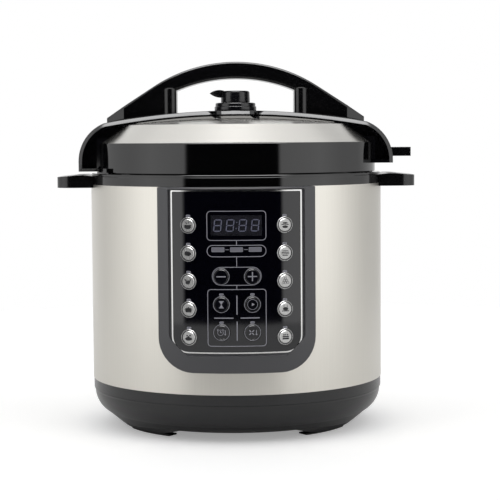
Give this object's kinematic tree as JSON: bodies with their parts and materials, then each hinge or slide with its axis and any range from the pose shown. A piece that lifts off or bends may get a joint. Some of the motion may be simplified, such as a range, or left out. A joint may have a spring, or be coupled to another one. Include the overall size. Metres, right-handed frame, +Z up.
{
  "type": "electric pressure cooker",
  "caption": "Round steel electric pressure cooker with a locking lid under an arched handle, side handles, a curved button panel, a lift-out pot and a drip cup at the back.",
  "frame": {"origin": "on the table under the middle of the drum", "axes": "+Z up, the control panel faces -Y, the lid's parking tab points to +X"},
  "size_m": [0.352, 0.2991, 0.3575],
  "materials": {
    "black_moulding": "satin moulded black plastic",
    "foot_rubber": "matte rubber",
    "zinc_steel": "zinc plated sheet",
    "drum_steel": "vertically brushed steel wrap",
    "gloss_black": "high gloss black plastic",
    "satin_black": "satin black plastic",
    "pot_housing": "pressed steel",
    "cast_aluminium": "turned casting",
    "spring_steel": "drawn wire",
    "cream_plastic": "heat-proof moulding",
    "circuit_board": "solder mask",
    "pin_brass": "plated pins",
    "clear_cup": "clear plastic",
    "bezel_grey": "satin dark grey plastic",
    "trim_chrome": "bright trim line",
    "panel_acrylic": "glossy black plate",
    "display_lens": "smoked window",
    "display_led": "lit segments on a grey block",
    "lamp_lens": "diffusing lens",
    "button_chrome": "satin chrome button",
    "button_dark": "glossy dark button",
    "pot_steel": "spun and polished steel",
    "silicone": "translucent silicone",
    "lid_steel": "spun and brushed steel",
    "valve_grey": "satin grey plastic",
    "float_red": "red cap over a steel pin"
  },
  "bodies": {
    "cooker_body": {"base_pan": "black_moulding", "foot_ring": "black_moulding", "foot_pads": "foot_rubber", "base_screws": "zinc_steel", "steel_wrap": "drum_steel", "collar_ring": "gloss_black", "ear_left": "satin_black", "ear_right": "satin_black", "closing_stop": "satin_black", "outer_pot": "pot_housing", "heating_plate": "cast_aluminium", "heater_bracket": "zinc_steel", "sensor_spring": "spring_steel", "pressure_switch": "cream_plastic", "thermal_fuse": "cream_plastic", "power_board": "circuit_board", "control_board": "circuit_board", "power_inlet": "satin_black", "inlet_pins": "pin_brass", "cup_bracket": "satin_black", "panel_bezel": "bezel_grey", "panel_trim": "trim_chrome", "panel_plate": "panel_acrylic", "display_window": "display_lens", "display_module": "display_led", "panel_lamps": "lamp_lens"},
    "sensor": {"sensor_cap": "cast_aluminium"},
    "cup": {"condensation_cup": "clear_cup"},
    "pot": {"inner_pot": "pot_steel"},
    "inner_lid": {"gasket_carrier": "pot_steel", "sealing_ring": "silicone", "carrier_grommet": "silicone"},
    "lid": {"lid_shell": "lid_steel", "lid_skirt": "gloss_black", "lid_strap": "gloss_black", "arch_handle": "satin_black", "handle_studs": "zinc_steel", "parking_tab": "satin_black", "valve_stem": "pot_steel", "valve_base": "valve_grey", "steam_shield": "pot_steel"},
    "steam_knob": {"valve_knob": "valve_grey"},
    "float": {"float_pin": "float_red"},
    "key_left_1": {"button_left_1": "button_chrome"},
    "key_left_2": {"button_left_2": "button_chrome"},
    "key_left_3": {"button_left_3": "button_chrome"},
    "key_left_4": {"button_left_4": "button_chrome"},
    "key_left_5": {"button_left_5": "button_chrome"},
    "key_right_1": {"button_right_1": "button_chrome"},
    "key_right_2": {"button_right_2": "button_chrome"},
    "key_right_3": {"button_right_3": "button_chrome"},
    "key_right_4": {"button_right_4": "button_chrome"},
    "key_right_5": {"button_right_5": "button_chrome"},
    "key_minus": {"button_minus": "button_dark"},
    "key_plus": {"button_plus": "button_dark"},
    "key_function_1": {"button_function_1": "button_dark"},
    "key_function_2": {"button_function_2": "button_dark"},
    "key_function_3": {"button_function_3": "button_dark"},
    "key_function_4": {"button_function_4": "button_dark"}
  },
  "joints": [
    {"name": "pot_lift", "type": "slide", "parent": "cooker_body", "child": "pot", "axis": [0, 0, 1], "range_m": [0, 0.2]},
    {"name": "lid_lift", "type": "slide", "parent": "pot", "child": "inner_lid", "axis": [0, 0, 1], "range_m": [0, 0.15]},
    {"name": "lid_turn", "type": "hinge", "parent": "inner_lid", "child": "lid", "pos_m": [0, 0, 0.27], "axis": [0, 0, 1], "range_deg": [-30, 0]},
    {"name": "knob_turn", "type": "hinge", "parent": "lid", "child": "steam_knob", "pos_m": [0, 0, 0.318], "axis": [0, 0, 1], "range_deg": [0, 60]},
    {"name": "float_rise", "type": "slide", "parent": "lid", "child": "float", "axis": [0, 0, 1], "range_m": [0, 0.004]},
    {"name": "sensor_press", "type": "slide", "parent": "cooker_body", "child": "sensor", "axis": [0, 0, 1], "range_m": [-0.002, 0], "stiffness_N_per_m": 1500, "springref_m": 0.001, "deforming": ["sensor_spring"]},
    {"name": "cup_slide", "type": "slide", "parent": "cooker_body", "child": "cup", "axis": [0, 1, 0], "range_m": [0, 0.045]},
    {"name": "press_left_1", "type": "slide", "parent": "cooker_body", "child": "key_left_1", "axis": [0.3018, 0.9534, 0], "range_m": [0, 0.0008], "stiffness_N_per_m": 800, "springref_m": -0.0005},
    {"name": "press_left_2", "type": "slide", "parent": "cooker_body", "child": "key_left_2", "axis": [0.3018, 0.9534, 0], "range_m": [0, 0.0008], "stiffness_N_per_m": 800, "springref_m": -0.0005},
    {"name": "press_left_3", "type": "slide", "parent": "cooker_body", "child": "key_left_3", "axis": [0.3018, 0.9534, 0], "range_m": [0, 0.0008], "stiffness_N_per_m": 800, "springref_m": -0.0005},
    {"name": "press_left_4", "type": "slide", "parent": "cooker_body", "child": "key_left_4", "axis": [0.3018, 0.9534, 0], "range_m": [0, 0.0008], "stiffness_N_per_m": 800, "springref_m": -0.0005},
    {"name": "press_left_5", "type": "slide", "parent": "cooker_body", "child": "key_left_5", "axis": [0.3018, 0.9534, 0], "range_m": [0, 0.0008], "stiffness_N_per_m": 800, "springref_m": -0.0005},
    {"name": "press_right_1", "type": "slide", "parent": "cooker_body", "child": "key_right_1", "axis": [-0.3018, 0.9534, 0], "range_m": [0, 0.0008], "stiffness_N_per_m": 800, "springref_m": -0.0005},
    {"name": "press_right_2", "type": "slide", "parent": "cooker_body", "child": "key_right_2", "axis": [-0.3018, 0.9534, 0], "range_m": [0, 0.0008], "stiffness_N_per_m": 800, "springref_m": -0.0005},
    {"name": "press_right_3", "type": "slide", "parent": "cooker_body", "child": "key_right_3", "axis": [-0.3018, 0.9534, 0], "range_m": [0, 0.0008], "stiffness_N_per_m": 800, "springref_m": -0.0005},
    {"name": "press_right_4", "type": "slide", "parent": "cooker_body", "child": "key_right_4", "axis": [-0.3018, 0.9534, 0], "range_m": [0, 0.0008], "stiffness_N_per_m": 800, "springref_m": -0.0005},
    {"name": "press_right_5", "type": "slide", "parent": "cooker_body", "child": "key_right_5", "axis": [-0.3018, 0.9534, 0], "range_m": [0, 0.0008], "stiffness_N_per_m": 800, "springref_m": -0.0005},
    {"name": "press_minus", "type": "slide", "parent": "cooker_body", "child": "key_minus", "axis": [0.0969, 0.9953, 0], "range_m": [0, 0.0008], "stiffness_N_per_m": 800, "springref_m": -0.0005},
    {"name": "press_plus", "type": "slide", "parent": "cooker_body", "child": "key_plus", "axis": [-0.0969, 0.9953, 0], "range_m": [0, 0.0008], "stiffness_N_per_m": 800, "springref_m": -0.0005},
    {"name": "press_function_1", "type": "slide", "parent": "cooker_body", "child": "key_function_1", "axis": [0.0969, 0.9953, 0], "range_m": [0, 0.0008], "stiffness_N_per_m": 800, "springref_m": -0.0005},
    {"name": "press_function_2", "type": "slide", "parent": "cooker_body", "child": "key_function_2", "axis": [-0.0969, 0.9953, 0], "range_m": [0, 0.0008], "stiffness_N_per_m": 800, "springref_m": -0.0005},
    {"name": "press_function_3", "type": "slide", "parent": "cooker_body", "child": "key_function_3", "axis": [0.0969, 0.9953, 0], "range_m": [0, 0.0008], "stiffness_N_per_m": 800, "springref_m": -0.0005},
    {"name": "press_function_4", "type": "slide", "parent": "cooker_body", "child": "key_function_4", "axis": [-0.0969, 0.9953, 0], "range_m": [0, 0.0008], "stiffness_N_per_m": 800, "springref_m": -0.0005}
  ]
}
